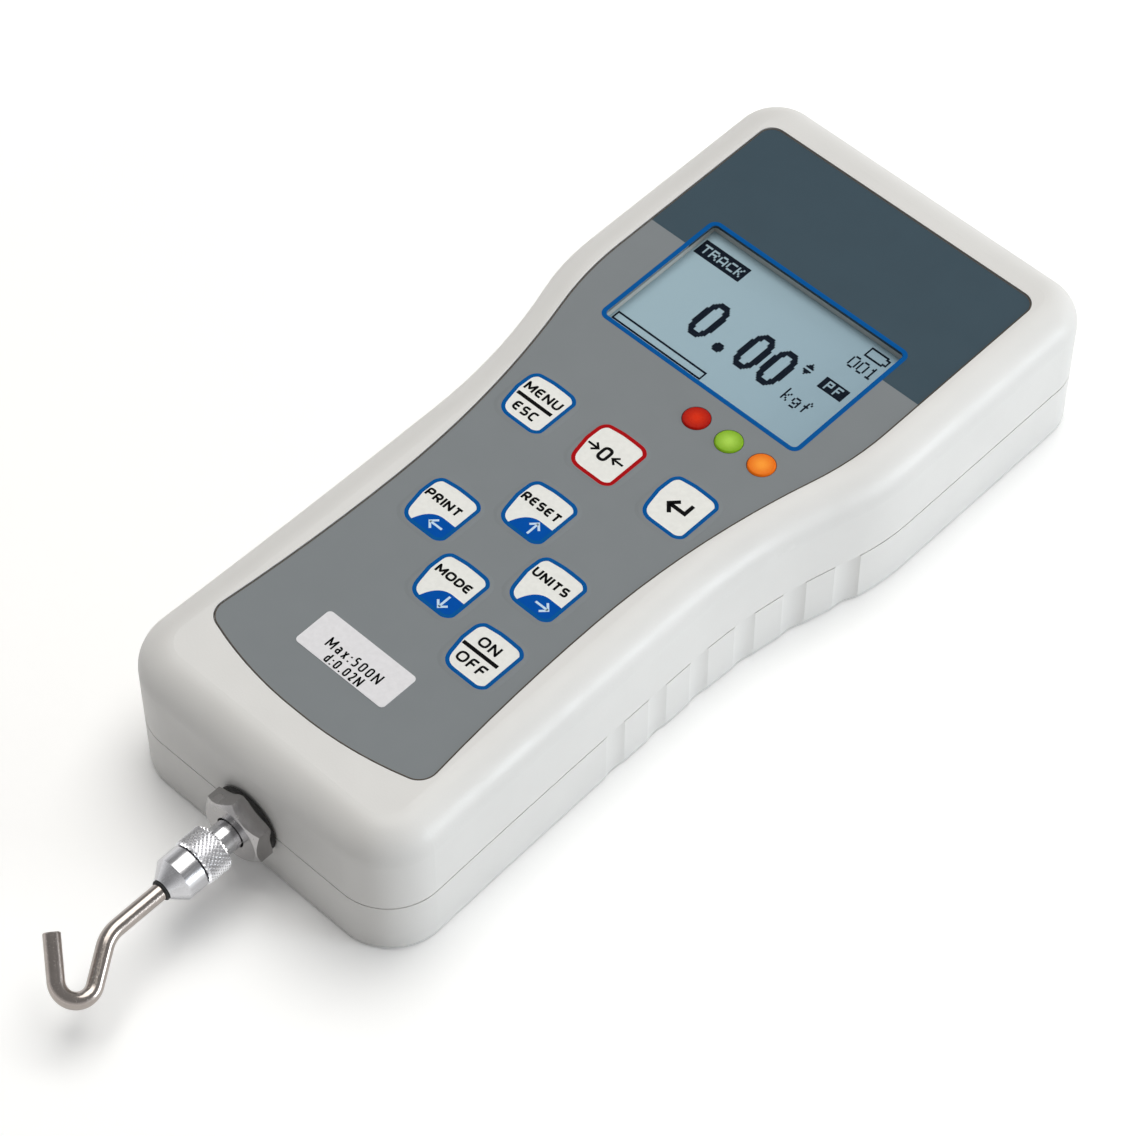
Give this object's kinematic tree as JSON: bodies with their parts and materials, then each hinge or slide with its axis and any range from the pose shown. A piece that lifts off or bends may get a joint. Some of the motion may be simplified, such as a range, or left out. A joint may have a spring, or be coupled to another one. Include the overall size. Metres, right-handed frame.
{
  "type": "force gauge",
  "caption": "Handheld digital force gauge: waisted housing with display and membrane keypad, measuring shaft with a knurled locking ring and a bent wire hook for pull tests.",
  "frame": {"origin": "centre of the housing's flat underside", "axes": "+X to the reader's right, +Y from the hook end to the display end, +Z out of the display"},
  "size_m": [0.0764, 0.2149, 0.0301],
  "materials": {
    "housing_plastic": "fine moulded texture",
    "panel_film": "printed film",
    "window_clear": "clear",
    "membrane_film": "film",
    "key_film": "printed film",
    "red_lens": "tinted lens",
    "green_lens": "tinted lens",
    "orange_lens": "tinted lens",
    "dome_steel": "bright",
    "bezel_plastic": "smooth",
    "lcd_glass": "display glass",
    "light_guide": "diffuser",
    "board_laminate": "solder mask",
    "chip_plastic": "moulded",
    "black_plastic": "moulded",
    "shield_tin": "tinned",
    "screw_steel": "zinc plated",
    "cell_aluminium": "anodised",
    "chassis_aluminium": "milled",
    "shaft_steel": "turned",
    "nickel_steel": "nickel plated",
    "hook_steel": "polished",
    "black_rubber": "matt",
    "potting_compound": "cured silicone",
    "flex_film": "polyimide",
    "battery_can": "plated can",
    "contact_spring": "nickel plated"
  },
  "bodies": {
    "housing": {"upper_housing": "housing_plastic", "lower_housing": "housing_plastic", "faceplate": "panel_film", "display_window": "window_clear", "switch_membrane": "membrane_film", "key_domes": "dome_steel", "lcd_bezel": "bezel_plastic", "lcd_glass": "lcd_glass", "lcd_backlight": "light_guide", "main_board": "board_laminate", "board_screws": "screw_steel", "housing_screws": "screw_steel", "load_cell": "cell_aluminium", "chassis": "chassis_aluminium", "cell_bolt": "screw_steel", "battery_holder": "black_plastic", "batteries": "battery_can", "data_port_shell": "shield_tin", "data_port_insert": "black_plastic", "port_jackscrews": "screw_steel", "power_jack": "black_plastic", "battery_contacts": "contact_spring", "gauge_potting": "potting_compound", "cell_flex": "flex_film", "cell_connector": "bezel_plastic", "keypad_tail": "flex_film", "tail_connector": "bezel_plastic", "processor": "chip_plastic", "amplifier_shield": "shield_tin", "buzzer": "chip_plastic", "red_led": "red_lens", "green_led": "green_lens", "orange_led": "orange_lens"},
    "measuring_line": {"measuring_shaft": "shaft_steel", "dust_washer": "black_rubber", "hex_nut": "nickel_steel"},
    "lock_ring_body": {"lock_ring": "nickel_steel"},
    "hook_body": {"hook_coupling": "nickel_steel", "tip_ring": "black_rubber", "hook": "hook_steel"},
    "menu_key_body": {"menu_key": "key_film"},
    "zero_key_body": {"zero_key": "key_film"},
    "enter_key_body": {"enter_key": "key_film"},
    "reset_key_body": {"reset_key": "key_film"},
    "print_key_body": {"print_key": "key_film"},
    "units_key_body": {"units_key": "key_film"},
    "mode_key_body": {"mode_key": "key_film"},
    "power_key_body": {"power_key": "key_film"}
  },
  "joints": [
    {"name": "measuring_slide", "type": "slide", "parent": "housing", "child": "measuring_line", "axis": [0, 1, 0], "range_m": [-0.00025, 0.00025], "stiffness_N_per_m": 20000},
    {"name": "lock_ring_turn", "type": "hinge", "parent": "measuring_line", "child": "lock_ring_body", "pos_m": [0, -0.0955, 0.0126], "axis": [0, -1, 0], "range_deg": [-180, 180]},
    {"name": "hook_turn", "type": "hinge", "parent": "measuring_line", "child": "hook_body", "pos_m": [0, -0.102, 0.0126], "axis": [0, -1, 0], "range_deg": [-180, 180]},
    {"name": "menu_press", "type": "slide", "parent": "housing", "child": "menu_key_body", "axis": [0, 0, -1], "range_m": [0, 0.00025], "stiffness_N_per_m": 8000},
    {"name": "zero_press", "type": "slide", "parent": "housing", "child": "zero_key_body", "axis": [0, 0, -1], "range_m": [0, 0.00025], "stiffness_N_per_m": 8000},
    {"name": "enter_press", "type": "slide", "parent": "housing", "child": "enter_key_body", "axis": [0, 0, -1], "range_m": [0, 0.00025], "stiffness_N_per_m": 8000},
    {"name": "reset_press", "type": "slide", "parent": "housing", "child": "reset_key_body", "axis": [0, 0, -1], "range_m": [0, 0.00025], "stiffness_N_per_m": 8000},
    {"name": "print_press", "type": "slide", "parent": "housing", "child": "print_key_body", "axis": [0, 0, -1], "range_m": [0, 0.00025], "stiffness_N_per_m": 8000},
    {"name": "units_press", "type": "slide", "parent": "housing", "child": "units_key_body", "axis": [0, 0, -1], "range_m": [0, 0.00025], "stiffness_N_per_m": 8000},
    {"name": "mode_press", "type": "slide", "parent": "housing", "child": "mode_key_body", "axis": [0, 0, -1], "range_m": [0, 0.00025], "stiffness_N_per_m": 8000},
    {"name": "power_press", "type": "slide", "parent": "housing", "child": "power_key_body", "axis": [0, 0, -1], "range_m": [0, 0.00025], "stiffness_N_per_m": 8000}
  ]
}
